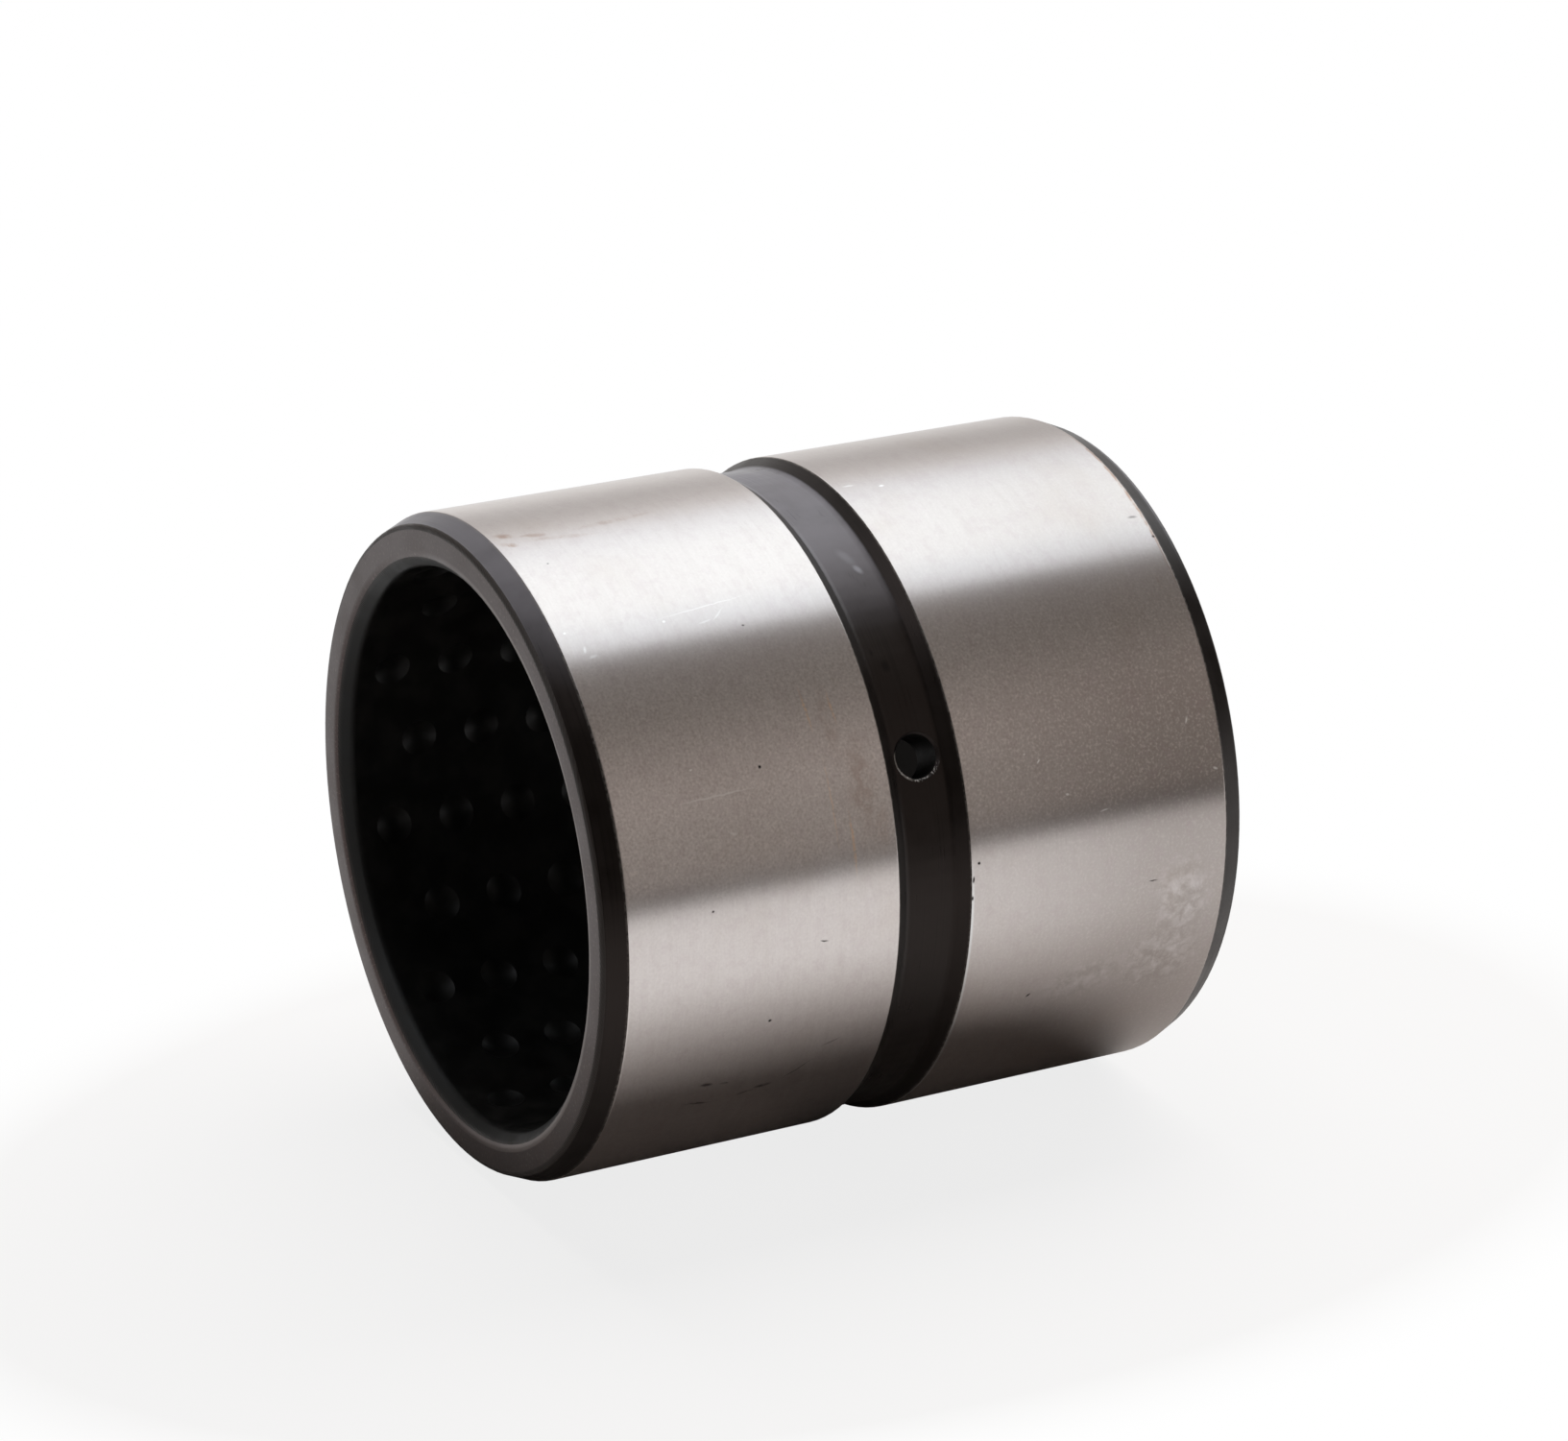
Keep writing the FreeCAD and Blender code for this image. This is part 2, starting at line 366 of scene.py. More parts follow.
def model_drill(sizes):
    """The oil hole's drill and countersink, along X, from inside the bore to above the groove."""
    floor = OUTER_RADIUS - sizes.groove_depth
    countersink = HOLE_RADIUS + sizes.hole_break
    start = BORE_RADIUS - DRILL_START
    deselect_objects()
    bpy.ops.mesh.primitive_circle_add(vertices=HOLE_POINTS, radius=HOLE_RADIUS,
                                      fill_type="NGON", location=(start, 0, 0),
                                      rotation=(0, math.pi / 2, 0))
    drill = active_mesh("oil_hole_drill")
    settle(drill)
    edit(drill)
    bpy.ops.mesh.select_all(action="SELECT")
    steps = ((floor - sizes.hole_break - start, 1.0),
             (sizes.hole_break, countersink / HOLE_RADIUS),
             (DRILL_OVERRUN, 1.0))
    for stride, growth in steps:
        bpy.ops.mesh.extrude_region_move(TRANSFORM_OT_translate={"value": (stride, 0, 0)})
        bpy.ops.transform.resize(value=(1, growth, growth), center_override=(0, 0, 0))
    bpy.ops.mesh.select_all(action="SELECT")
    bpy.ops.mesh.normals_make_consistent(inside=False)
    leave_edit()
    return drill


def model_sleeve(sizes):
    """The finished sleeve as one closed mesh, with the oil hole along X until it is turned."""
    sleeve = model_outside(sizes)
    bore_wall = model_bore_wall(sizes)
    choose(sleeve, bore_wall)
    bpy.ops.object.join()
    sleeve = active_mesh("sleeve")
    edit(sleeve)
    bpy.ops.mesh.select_all(action="SELECT")
    bpy.ops.mesh.remove_doubles(threshold=SAME)
    bpy.ops.mesh.normals_make_consistent(inside=False)
    leave_edit()

    lead = OUTER_RADIUS - sizes.lead_drop
    floor = OUTER_RADIUS - sizes.groove_depth
    round_rims(sleeve, [(lead, END)], sizes.corner_round)
    round_rims(sleeve, [(MOUTH_RADIUS, END)], sizes.mouth_round)
    round_rims(sleeve, [(floor, sizes.groove_floor / 2)], sizes.root_round)
    round_rims(sleeve, [(BORE_RADIUS, BORE_HALF)], sizes.bore_round)
    round_rims(sleeve, [(OUTER_RADIUS, LAND_HALF), (OUTER_RADIUS, sizes.groove_width / 2)],
               sizes.edge_break)

    drill = model_drill(sizes)
    finish_with(sleeve, "BOOLEAN", operation="DIFFERENCE", object=drill, solver="EXACT")
    bpy.data.objects.remove(drill)
    sleeve.rotation_euler.y = -HOLE_RISE
    settle(sleeve)
    return sleeve


# ---------------------------------------------------------------- materials


# Sockets of a colour Mix node, whose names repeat.
SHARE, FIRST, SECOND, MIXED = 0, 6, 7, 2


def add_node(owner, kind, inputs=None, **settings):
    """A node with its settings.  Each input takes a value, or the socket that feeds it."""
    node = owner.node_tree.nodes.new(kind)
    for name, value in settings.items():
        setattr(node, name, value)
    for name, value in (inputs or {}).items():
        if isinstance(value, bpy.types.NodeSocket):
            owner.node_tree.links.new(value, node.inputs[name])
        else:
            node.inputs[name].default_value = value
    return node


def new_material(name):
    """A material with no nodes yet."""
    material = bpy.data.materials.new(name)
    material.use_nodes = True
    material.node_tree.nodes.clear()
    return material


def amount(owner, *terms):
    """An amount that varies over a surface: its terms, multiplied.  A term is a number, a
    socket, or a soft step.  The step (value, low, high, start, end) goes from start to end
    while its value goes from low to high, and without start and end it goes from 0 to 1."""
    total = None
    for term in terms:
        if isinstance(term, tuple):
            value, low, high, start, end = (*term, 0.0, 1.0)[:5]
            term = add_node(owner, "ShaderNodeMapRange",
                            {"Value": value, "From Min": low, "From Max": high,
                             "To Min": start, "To Max": end},
                            interpolation_type="SMOOTHSTEP").outputs[0]
        if total is None:
            total = term
        else:
            total = add_node(owner, "ShaderNodeMath", {0: total, 1: term},
                             operation="MULTIPLY").outputs[0]
    return total


def sum_of(owner, *amounts):
    """Adds up amounts, each given as the list of its terms."""
    total = amount(owner, *amounts[0])
    for terms in amounts[1:]:
        total = add_node(owner, "ShaderNodeMath", {0: total, 1: amount(owner, *terms)},
                         operation="ADD").outputs[0]
    return total


def painted(owner, base, *layers):
    """A base colour under layers.  A layer is its colour, followed by the terms of how much of
    it shows."""
    for tone, *terms in layers:
        if isinstance(tone, str):
            tone = (*linear(tone), 1)
        base = add_node(owner, "ShaderNodeMix",
                        {SHARE: amount(owner, *terms), FIRST: base, SECOND: tone},
                        data_type="RGBA").outputs[MIXED]
    return base


def surfaced(material, height, strength, depth, inputs):
    """Ends a material in its shader, with a bump that follows the height and is depth deep."""
    bump = add_node(material, "ShaderNodeBump",
                    {"Strength": strength, "Distance": depth, "Height": height})
    shader = add_node(material, "ShaderNodeBsdfPrincipled",
                      {**inputs, "Normal": bump.outputs[0]})
    add_node(material, "ShaderNodeOutputMaterial", {"Surface": shader.outputs["BSDF"]})
    return material


def unroll(material):
    """The point on the sleeve, its X, Y and Z, its distance from the bore axis, and the outside
    unrolled flat: X along the bore, Y round it, both in metres."""
    place = add_node(material, "ShaderNodeTexCoord").outputs["Object"]
    parts = add_node(material, "ShaderNodeSeparateXYZ", {0: place}).outputs
    turn = add_node(material, "ShaderNodeMath", {0: parts["Z"], 1: parts["X"]},
                    operation="ARCTAN2").outputs[0]
    sheet = add_node(material, "ShaderNodeCombineXYZ",
                     {"X": parts["Y"], "Y": amount(material, turn, OUTER_RADIUS)})
    across = add_node(material, "ShaderNodeCombineXYZ", {"X": parts["X"], "Z": parts["Z"]})
    radius = add_node(material, "ShaderNodeVectorMath", {0: across.outputs[0]},
                      operation="LENGTH")
    return place, parts, radius.outputs["Value"], sheet.outputs[0]


def tool_marks(material, place, run, gap):
    """Marks that run round the bore axis, run metres long and gap metres apart."""
    drawn = add_node(material, "ShaderNodeMapping",
                     {"Vector": place, "Scale": (1 / run, 1 / gap, 1 / run)})
    return add_node(material, "ShaderNodeTexNoise",
                    {"Vector": drawn.outputs[0], "Scale": 1.0, "Detail": 3.0,
                     "Roughness": 0.6}).outputs["Fac"]


def blemishes(material, sheet, table):
    """How strongly each point of the unrolled outside lies in one of the marks of a table."""
    total = 0.0
    for from_front, up, size_along, size_round, turn, strength in table:
        middle = (from_front * MM - END, math.radians(up) * OUTER_RADIUS, 0)
        local = add_node(material, "ShaderNodeMapping",
                         {"Vector": sheet, "Location": middle,
                          "Rotation": (0, 0, math.radians(turn)),
                          "Scale": (size_along * MM / 2, size_round * MM / 2, 1)},
                         vector_type="TEXTURE")
        reach = add_node(material, "ShaderNodeVectorMath", {0: local.outputs[0]},
                         operation="LENGTH").outputs["Value"]
        mark = amount(material, (reach, 1.0, 0.2, 0.0, strength))
        total = add_node(material, "ShaderNodeMath", {0: total, 1: mark},
                         operation="MAXIMUM").outputs[0]
    return total


# Marks on the outside, each as: millimetres from the front face, degrees above the +X side,
# size along and size round the sleeve in millimetres, turn in degrees, strength.
SCRATCHES = (
    (25.4, 57.3, 19.0, 0.28, 6, 0.3), (25.0, 54.4, 3.0, 0.36, 13, 0.35),
    (27.3, 55.4, 3.8, 0.34, 38, 0.35), (18.6, 24.8, 17.5, 0.40, 2, 0.4),
    (6.6, 53.1, 1.5, 0.60, 70, 0.6), (4.9, 56.9, 0.6, 0.50, 0, 0.6),
    (7.4, 51.6, 1.8, 0.70, 20, 0.45), (19.3, 55.7, 0.6, 0.50, 0, 0.8),
    (15.8, 29.7, 0.8, 0.45, 30, 0.8), (20.2, 18.4, 2.0, 0.50, -20, 0.4),
    (67.6, 20.3, 1.0, 0.40, 50, 1.0), (71.4, 14.0, 0.7, 0.60, 0, 0.9),
    (91.7, 22.4, 1.5, 0.40, 60, 0.8), (95.3, 13.4, 1.3, 0.60, -30, 0.9),
    (77.0, 10.1, 1.9, 0.40, 10, 0.6), (65.6, 21.9, 0.6, 0.50, 0, 0.7),
    (58.0, 80.9, 2.4, 0.60, 0, 0.6), (62.5, 79.1, 1.2, 0.60, 0, 0.9),
)
PITS = (
    (30.1, 52.5, 0.55, 0.50, 0, 0.7), (25.8, 28.1, 0.75, 0.70, 0, 1.0),
    (16.0, 6.4, 0.55, 0.45, 0, 0.9), (25.4, -16.0, 0.75, 0.60, 0, 1.0),
    (32.8, -2.6, 1.6, 0.30, -10, 0.8), (67.1, -23.2, 1.2, 0.45, 50, 1.0),
    (56.8, 5.4, 0.60, 0.70, 0, 1.0), (84.8, -4.2, 1.8, 0.28, -8, 0.9),
    (8.3, 72.9, 0.50, 0.40, 0, 0.6), (94.8, 60.3, 2.0, 0.60, 0, 0.4),
    (96.3, 55.5, 0.80, 0.60, 0, 0.7), (55.9, 2.7, 0.50, 1.40, 0, 1.0),
    (55.8, -0.5, 0.40, 1.00, 0, 1.0),
)
SMUDGES = (
    (17.6, -28.4, 2.6, 0.9, -8, 0.8), (20.4, -28.9, 1.9, 0.6, -8, 0.7),
    (27.0, -32.0, 3.6, 0.9, 6, 1.0), (24.4, -33.0, 3.6, 0.6, 10, 0.6),
    (31.6, -29.6, 7.2, 0.28, 38, 0.7), (17.1, -33.2, 5.5, 0.6, -12, 0.7),
    (36.0, -24.0, 4.0, 0.5, 20, 0.4),
)
RUST = (
    (5.8, 83.2, 4.2, 2.0, -20, 0.6), (5.2, 80.2, 3.6, 1.6, -25, 0.7),
    (9.6, 82.0, 6.0, 1.6, -12, 0.4), (13.0, 80.0, 13.0, 1.6, -8, 0.3),
    (22.0, 82.5, 16.0, 1.8, 5, 0.26), (40.2, 22.0, 6.4, 18.0, 0, 0.26),
    (37.4, 33.0, 3.2, 14.0, 0, 0.2), (42.4, 15.0, 3.0, 10.0, 0, 0.22),
    (93.8, 46.5, 0.7, 3.6, 0, 0.30), (96.4, 68.0, 0.7, 50.0, 0, 0.7),
)
GOLDEN_STREAKS = (
    (34.6, 36.0, 0.5, 8.0, 3, 0.6), (38.4, 35.5, 0.5, 6.0, 3, 0.5),
    (37.8, 13.0, 0.6, 11.0, 2, 0.6), (35.4, 20.0, 0.4, 16.0, 1, 0.35),
)
MOTTLED = (
    (90.0, -9.0, 12.0, 19.0, 0, 1.0), (88.0, -21.0, 18.0, 17.0, 0, 1.0),
    (76.0, -22.0, 22.0, 9.0, 10, 0.9),
)


def ground_steel(finish, sizes):
    """Hardened steel, cylindrically ground.  It is bright but not a mirror: the wheel's marks
    run round the sleeve, so a reflection keeps its edges across them and smears along the
    bore, and the handling shows as pits, scratches, faint mottling and a breath of rust."""
    material = new_material("ground_steel")
    place, parts, _, sheet = unroll(material)
    # The wheel's real marks are about 0.02 mm apart.  They are drawn coarser, to show.
    wheel = tool_marks(material, place, 7 * MM, 0.28 * MM)
    long_marks = tool_marks(material, place, 30 * MM, 1.1 * MM)
    # The steel's fine grain is a few hundredths of a millimetre, and is drawn coarser too.
    grain = add_node(material, "ShaderNodeTexNoise",
                     {"Vector": place, "Scale": 1 / (0.38 * MM), "Detail": 1.0}).outputs["Fac"]
    patches = add_node(material, "ShaderNodeTexNoise",
                       {"Vector": place, "Scale": 1 / (16 * MM), "Detail": 5.0}).outputs["Fac"]
    swirls = add_node(material, "ShaderNodeTexNoise",
                      {"Vector": place, "Scale": 1 / (1.9 * MM), "Detail": 5.0,
                       "Roughness": 0.6, "Distortion": 0.5}).outputs["Fac"]

    # The marks' outlines stray from their plain ovals by up to 0.4 mm.
    wander = add_node(material, "ShaderNodeTexNoise",
                      {"Vector": place, "Scale": 1 / (1.5 * MM), "Detail": 2.0}).outputs["Color"]
    centred = add_node(material, "ShaderNodeVectorMath", {0: wander, 1: (0.5, 0.5, 0.5)},
                       operation="SUBTRACT").outputs[0]
    stray = add_node(material, "ShaderNodeVectorMath", {0: centred, "Scale": 0.4 * MM},
                     operation="SCALE").outputs[0]
    drifted = add_node(material, "ShaderNodeVectorMath", {0: sheet, 1: stray},
                       operation="ADD").outputs[0]
    scratches = blemishes(material, drifted, SCRATCHES)
    pits = blemishes(material, drifted, PITS)
    smudges = amount(material, blemishes(material, drifted, SMUDGES),
                     (tool_marks(material, place, 3 * MM, 2 * MM), 0.3, 0.6, 0.45, 1.0))
    streaks = amount(material, blemishes(material, drifted, GOLDEN_STREAKS),
                     (grain, 0.35, 0.55, 0.3, 1.0))
    rust = amount(material, blemishes(material, drifted, RUST), (swirls, 0.4, 0.58, 0.3, 1.0))
    # The stained patch near the far end is mottled, both paler and darker than the land.
    stained = blemishes(material, drifted, MOTTLED)
    mottled = amount(material, stained, (swirls, 0.44, 0.74))
    sunk = amount(material, stained, (swirls, 0.54, 0.34))

    # Painted shade: the rear land is painted darker than the front one, least on its upper
    # side, to dim its reflections.
    rear_land_shade = amount(
        material,
        sum_of(material, [(parts["Y"], 0, 5 * MM, 0.0, 0.35)],
               [(parts["Y"], 5 * MM, 42 * MM, 0.0, 0.65)]),
        (parts["Z"], 0.42 * OUTER_RADIUS, 0.65 * OUTER_RADIUS, 1.0, 0.35))
    # Painted highlight: a glint along the groove's rear edge, on its lower side.
    groove_side = sizes.groove_width / 2
    groove_edge_glint = amount(
        material, (parts["Y"], groove_side + 0.4 * MM, groove_side + 0.2 * MM, 0.0, 0.4),
        (parts["Y"], 0, 1 * MM), (parts["Z"], 7 * MM, -2 * MM))
    # The grain shows most on the side that reflects the dim room.
    grain_depth = amount(material,
                         (parts["Z"], 0.10 * OUTER_RADIUS, 0.24 * OUTER_RADIUS, 0.3, 1.0),
                         (parts["Z"], 0.65 * OUTER_RADIUS, 0.82 * OUTER_RADIUS, 0.26, 0.05))
    tone = painted(
        material, (*finish.ground_steel, 1),
        # Painted shade on the rear land.
        ("#aaa29e", rear_land_shade),
        ("#8d8078", (wheel, 0.6, 0.3, 0.0, 0.04)),
        ("#a3978f", (long_marks, 0.6, 0.35, 0.0, 0.05)),
        ("#94847a", (grain, 0.52, 0.25), grain_depth),
        ("#fdf4ef", (grain, 0.50, 0.75), grain_depth),
        ("#b09d8c", (patches, 0.5, 0.8, 0.0, 0.18)),
        ("#a8929a", (swirls, 0.46, 0.68, 0.0, 0.12)),
        ("#9c7a64", rust),
        ("#ecc79f", streaks),
        ("#8f8681", sunk, 0.32),
        ("#f2f0ee", mottled, 0.26),
        # Painted highlight along the groove's rear edge.
        ("#f4f9fa", groove_edge_glint),
        ("#2a2321", smudges, 0.9),
        ("#f6f4f2", scratches),
        ("#14100e", pits))
    # Smooth enough that the edges of a reflection still show, and rough enough to soften them.
    rough = sum_of(material, [(patches, 0.3, 0.7, 0.276, 0.296)], [scratches, 0.06],
                   [pits, 0.3], [mottled, 0.03], [rust, 0.05])
    height = sum_of(material, [mottled, 3.0], [pits, -3.0], [scratches, -1.0])
    tangent = add_node(material, "ShaderNodeTangent", direction_type="RADIAL", axis="Y")
    return surfaced(material, height, 0.5, 0.004 * MM, {
        "Base Color": tone, "Metallic": 1.0, "Roughness": rough, "Anisotropic": 0.8,
        "Anisotropic Rotation": 0.25, "Tangent": tangent.outputs["Tangent"]})


# Places on the groove's floor, in the same terms as the marks on the lands.
FLOOR_LIGHT = ((51.3, 60.8, 1.4, 2.6, 20, 1.0), (50.6, 64.0, 2.2, 5.0, 20, 0.4))
FLOOR_DARK = ((49.0, 41.1, 1.8, 2.6, 0, 1.0), (47.6, 44.0, 0.8, 1.6, 0, 0.8))


def black_oxide(finish, sizes):
    """Turned steel under a black oxide film, lightly oiled: nearly black with a soft sheen, the
    tool's fine lines round it, a grey sheen painted on its upper side where it mirrors the soft
    box, and bare metal where the film has worn off the edges."""
    material = new_material("black_oxide")
    place, parts, radius, sheet = unroll(material)
    lines = tool_marks(material, place, 25 * MM, 0.22 * MM)
    patches = add_node(material, "ShaderNodeTexNoise",
                       {"Vector": place, "Scale": 1 / (6 * MM), "Detail": 3.0}).outputs["Fac"]
    specks = add_node(material, "ShaderNodeTexNoise",
                      {"Vector": place, "Scale": 1 / (0.7 * MM), "Detail": 2.0}).outputs["Fac"]

    # Painted sheen: the groove's floor and the front taper are painted lighter on their upper
    # side, where they mirror the soft box.
    floor = OUTER_RADIUS - sizes.groove_depth
    sheen_zone = add_node(material, "ShaderNodeMath", {
        0: amount(material, (radius, floor + 0.35 * MM, floor + 0.15 * MM)),
        1: amount(material, (parts["Y"], -LAND_HALF + 1 * MM, -LAND_HALF, 0.0, 0.9))},
                       operation="MAXIMUM").outputs[0]
    painted_sheen = amount(material, (parts["Z"], 0.70 * OUTER_RADIUS, 0.93 * OUTER_RADIUS),
                  (patches, 0.2, 0.6, 0.75, 1.0), sheen_zone)
    worn = amount(material, (radius, OUTER_RADIUS - 0.22 * MM, OUTER_RADIUS - 0.04 * MM),
                  (specks, 0.35, 0.6, 0.15, 0.7))

    # The oil hole's rim is painted dark as shade in the countersink. A painted highlight runs
    # along its lower front side, and below the hole the drill's marks are painted light as glints.
    across_hole = add_node(material, "ShaderNodeVectorMath", {0: place, 1: HOLE_AXIS},
                           operation="CROSS_PRODUCT").outputs[0]
    from_hole = add_node(material, "ShaderNodeVectorMath", {0: across_hole},
                         operation="LENGTH").outputs["Value"]
    outward = add_node(material, "ShaderNodeVectorMath", {0: place, 1: HOLE_AXIS},
                       operation="DOT_PRODUCT").outputs["Value"]
    rim = amount(material, (outward, 0, 5 * MM),
                 (from_hole, HOLE_RADIUS + 0.45 * MM, HOLE_RADIUS + 0.3 * MM))
    hole_height = floor * HOLE_AXIS.z
    rim_highlight = amount(material, rim, (parts["Y"], -0.8 * MM, -1.8 * MM, 0.0, 0.8),
                     (parts["Z"], hole_height + 1.1 * MM, hole_height + 0.3 * MM))
    rim_glints = amount(material, rim,
                     (parts["Z"], hole_height - 0.9 * MM, hole_height - 1.5 * MM),
                     (tool_marks(material, place, 0.6 * MM, 0.3 * MM), 0.5, 0.62))
    tone = painted(
        material, (*finish.black_oxide, 1),
        ("#221e1c", (patches, 0.4, 0.7, 0.0, 0.5)),
        ("#0a0908", (lines, 0.5, 0.25, 0.0, 0.6)),
        # Painted sheen on the upper side.
        ("#706e73", painted_sheen),
        ("#a2a3aa", blemishes(material, sheet, FLOOR_LIGHT), 0.55),
        ("#080706", blemishes(material, sheet, FLOOR_DARK)),
        ("#8b8580", worn),
        # Painted shade on the hole's rim, then its painted highlight and glints.
        ("#050404", rim),
        ("#8b8580", rim_highlight),
        ("#b8b4b0", rim_glints))
    rough = sum_of(material, [(patches, 0.3, 0.7, 0.30, 0.40)], [(lines, 0.3, 0.7, -0.04, 0.04)])
    height = sum_of(material, [lines], [specks, 0.5])
    # A smooth film's IOR is near 1.5.  This one is dull and gives back less light.
    return surfaced(material, height, 0.35, 0.02 * MM, {
        "Base Color": tone, "Roughness": rough, "IOR": 1.33,
        "Specular Tint": (*linear("#ffe8e0"), 1)})


def hardened_end(finish):
    """Turned end face after hardening: a dull brownish grey scale, with the tool's rings
    running round it and a faint bloom of rust."""
    material = new_material("hardened_end")
    place, parts, radius, _ = unroll(material)
    # The tool's feed, one ring to each 0.25 mm.
    ring = amount(material, radius, 1 / (0.25 * MM))
    rings = add_node(material, "ShaderNodeTexNoise", {"W": ring, "Scale": 1.0, "Detail": 2.0},
                     noise_dimensions="1D").outputs["Fac"]
    patches = add_node(material, "ShaderNodeTexNoise",
                       {"Vector": place, "Scale": 1 / (7 * MM), "Detail": 3.0}).outputs["Fac"]
    specks = add_node(material, "ShaderNodeTexNoise",
                      {"Vector": place, "Scale": 1 / (0.5 * MM), "Detail": 2.0}).outputs["Fac"]
    shades = add_node(material, "ShaderNodeTexNoise",
                      {"Vector": place, "Scale": 1 / (25 * MM), "Detail": 3.0}).outputs["Fac"]
    tone = painted(
        material, (*finish.end_scale, 1),
        ("#2c2827", (rings, 0.5, 0.3, 0.0, 0.45)),
        ("#4a403a", (patches, 0.5, 0.75, 0.0, 0.5)),
        ("#6b625d", (specks, 0.55, 0.75, 0.0, 0.6)),
        ("#1c1816", (specks, 0.42, 0.25, 0.0, 0.6)),
        ("#1f1b19", (shades, 0.5, 0.7, 0.0, 0.6)),
        # Painted highlight: a light line along the mouth's rounded edge, on the side towards +X.
        ("#8d8580", (radius, MOUTH_RADIUS + 0.95 * MM, MOUTH_RADIUS + 0.7 * MM),
         (parts["X"], -0.2 * BORE_RADIUS, 0.6 * BORE_RADIUS, 0.05, 0.6)))
    rough = amount(material, (patches, 0.3, 0.7, 0.28, 0.38))
    height = sum_of(material, [rings], [specks])
    return surfaced(material, height, 0.4, 0.02 * MM, {
        "Base Color": tone, "Roughness": rough, "IOR": 1.44,
        "Specular Tint": (*linear("#ffd8d4"), 1)})


def oiled_bore(finish):
    """Bore wall, pockets, oil hole, bore chamfers and outer corners: the same black film under
    a coat of oil, which darkens it and picks out the pockets' rims and the drill's rings."""
    material = new_material("oiled_bore")
    place, parts, radius, _ = unroll(material)
    along_hole = add_node(material, "ShaderNodeVectorMath", {0: place, 1: HOLE_AXIS},
                          operation="DOT_PRODUCT").outputs["Value"]
    # The drill's feed, one ring to each 0.35 mm.
    drilled = amount(material, along_hole, math.tau / (0.35 * MM))
    feed = add_node(material, "ShaderNodeMath", {0: drilled}, operation="SINE").outputs[0]
    in_hole = amount(material, (radius, BORE_RADIUS + 0.9 * MM, BORE_RADIUS + 1.4 * MM))
    from_middle = add_node(material, "ShaderNodeMath", {0: parts["Y"]},
                           operation="ABSOLUTE").outputs[0]
    honed = tool_marks(material, place, 20 * MM, 0.4 * MM)
    oil = add_node(material, "ShaderNodeTexNoise",
                   {"Vector": place, "Scale": 1 / (4 * MM), "Detail": 3.0}).outputs["Fac"]
    tone = painted(
        material, (*finish.bore_oxide, 1),
        ("#211f1d", (oil, 0.45, 0.7, 0.0, 0.6)),
        ("#1d1b1a", in_hole),
        # Painted light: at the ends, the bore's chamfers lighten towards the end face, for the
        # light they catch at the mouth. The outer corners take the same lighter tone.
        ("#3c3633", (radius, BORE_RADIUS + 1 * MM, BORE_RADIUS + 1.9 * MM),
         (from_middle, BORE_HALF + 0.3 * MM, BORE_HALF + 1 * MM)))
    rough = amount(material, (oil, 0.3, 0.7, 0.36, 0.50))
    height = sum_of(material, [honed, 0.6], [feed, in_hole])
    # Oil fills the film's pores, so it gives back even less light than the dry film.
    return surfaced(material, height, 0.4, 0.03 * MM,
                    {"Base Color": tone, "Roughness": rough, "IOR": 1.27})


def dress_sleeve(sleeve, finish, sizes):
    """Gives each surface its finish, by its place on the sleeve."""
    for material in (ground_steel(finish, sizes), black_oxide(finish, sizes),
                     hardened_end(finish), oiled_bore(finish)):
        sleeve.data.materials.append(material)
    land, oxide, end, bore = range(4)
    corner_width = CORNER_SHARE * sizes.corner_round
    corner = OUTER_RADIUS - sizes.lead_drop - corner_width
    for face in sleeve.data.polygons:
        middle = face.center
        radius = axis_distance(middle)
        if radius > OUTER_RADIUS - sizes.edge_break / 2:
            face.material_index = land
        elif abs(middle.y) > END - corner_width and radius > corner:
            face.material_index = bore
        elif abs(middle.y) > BORE_HALF and radius > BORE_RADIUS + SAME:
            if abs(face.normal.y) > END_FACING:
                face.material_index = end
            else:
                face.material_index = oxide if radius > (BORE_RADIUS + OUTER_RADIUS) / 2 else bore
        elif radius > OUTER_RADIUS - sizes.groove_depth - sizes.hole_break:
            face.material_index = oxide
        else:
            face.material_index = bore


# ---------------------------------------------------------------- stage


# The camera was fitted to the photograph's rims, groove edges and outline.
CAMERA_PLACE = (0.63409, -0.33523, 0.28193)
CAMERA_TURN = math.radians(62.010)
CAMERA_DIP = math.radians(20.713)
LENS = 123.29
SENSOR = 36.0
CAMERA_REACH = 50


def make_camera(scene):
    """The camera, where the photograph was taken from."""
    bpy.ops.object.camera_add(location=CAMERA_PLACE,
                              rotation=(math.pi / 2 - CAMERA_DIP, 0, CAMERA_TURN))
    camera = bpy.context.active_object
    camera.data.sensor_width = SENSOR
    camera.data.lens = LENS
    camera.data.clip_end = CAMERA_REACH
    scene.camera = camera


TABLE_SIZE = 8.0
# The sleeve's shadow on the table lies round this point and reaches this far each way.  The
# table clears to plain white from this share of that reach outwards.
SHADOW_MIDDLE = (0.016, -0.005, FLOOR_HEIGHT)
SHADOW_REACH = (0.10, 0.15, 1.0)
SHADOW_CORE = 0.35
# The camera sees the shadow this much paler than the steel does.
SHADOW_VEIL = 0.82


def seen_directly(owner):
    """For the camera and for all that is seen directly, by itself, in a reflection or through
    a clear material: 1, and 0 for plain light."""
    path = add_node(owner, "ShaderNodeLightPath").outputs
    seen = path["Is Camera Ray"]
    for other in (path["Is Glossy Ray"], path["Is Transmission Ray"]):
        seen = add_node(owner, "ShaderNodeMath", {0: seen, 1: other},
                        operation="MAXIMUM").outputs[0]
    return path["Is Camera Ray"], seen


